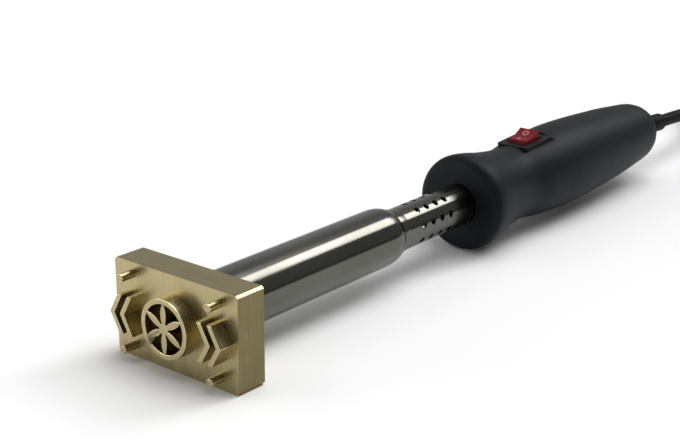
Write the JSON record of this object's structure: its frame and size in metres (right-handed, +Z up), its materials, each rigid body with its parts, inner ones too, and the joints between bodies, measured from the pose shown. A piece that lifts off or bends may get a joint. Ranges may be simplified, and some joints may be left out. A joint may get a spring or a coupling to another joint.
{
  "type": "branding iron",
  "caption": "Hand-held electric branding iron with a brass stamp block on a heated steel sleeve, a vented neck, a black handle with a rocker switch, and a mains lead with plug.",
  "frame": {"origin": "middle of the tool's own box, without its cord, on the floor that it lies on", "axes": "+X from the stamp towards the cord, +Z up; the tool's own axis rises about one degree towards the handle"},
  "size_m": [0.6587, 0.0659, 0.0419],
  "materials": {
    "brass_stamp": "satin milled brass",
    "brass_parts": "plain brass",
    "dark_steel": "plain steel",
    "ceramic": "matt ceramic",
    "heater_wire": "oxidised resistance wire",
    "polished_steel": "polished steel tube",
    "handle_black": "soft-touch matt black",
    "switch_black": "moulded black",
    "switch_red": "moulded red with white marks",
    "core_brown": "brown insulation",
    "core_blue": "blue insulation",
    "core_green": "green and yellow insulation",
    "lead_white": "glass fibre sleeving",
    "cord_rubber": "matt black rubber",
    "tie_fabric": "black hook-and-loop strap",
    "plug_black": "moulded black rubber",
    "plug_metal": "nickel plate"
  },
  "bodies": {
    "iron": {"brand_block": "brass_stamp", "stamp_shank": "brass_parts", "nose_bush": "dark_steel", "shank_screw": "dark_steel", "heater_former": "ceramic", "heater_winding": "heater_wire", "heater_wrap": "ceramic", "heater_pins": "heater_wire", "lead_spacer": "ceramic", "heater_sleeve": "polished_steel", "neck_tube": "polished_steel", "neck_ferrule": "dark_steel", "ferrule_screw": "dark_steel", "earth_clamp": "brass_parts", "handle": "handle_black", "switch_housing": "switch_black", "centre_terminal": "brass_parts", "load_terminal": "brass_parts", "lead_receptacles": "dark_steel", "live_core": "core_brown", "neutral_core": "core_blue", "earth_core": "core_green", "switched_lead": "lead_white", "neutral_lead": "lead_white", "core_splice": "dark_steel", "strain_relief": "cord_rubber", "cord_inlet": "cord_rubber", "cord_collar": "dark_steel", "cord_run": "cord_rubber", "cord_hank": "cord_rubber", "cord_tie": "tie_fabric", "plug_lead": "cord_rubber", "plug_body": "plug_black", "plug_pins": "plug_metal", "plug_clips": "plug_metal"},
    "rocker": {"switch_rocker": "switch_red", "switch_plunger": "dark_steel", "switch_spring": "dark_steel"},
    "contact": {"contact_bridge": "brass_parts"}
  },
  "joints": [
    {"name": "rocker_rock", "type": "hinge", "parent": "iron", "child": "rocker", "pos_m": [0.04282, 0, 0.03481], "axis": [0, 1, 0], "range_deg": [0, 25]},
    {"name": "contact_lean", "type": "hinge", "parent": "iron", "child": "contact", "pos_m": [0.04338, 0, 0.02652], "axis": [0, 1, 0], "range_deg": [-15, 0]}
  ],
  "couplings": [
    {"joint": "contact_lean", "follows": "rocker_rock", "ratio": -0.6}
  ]
}
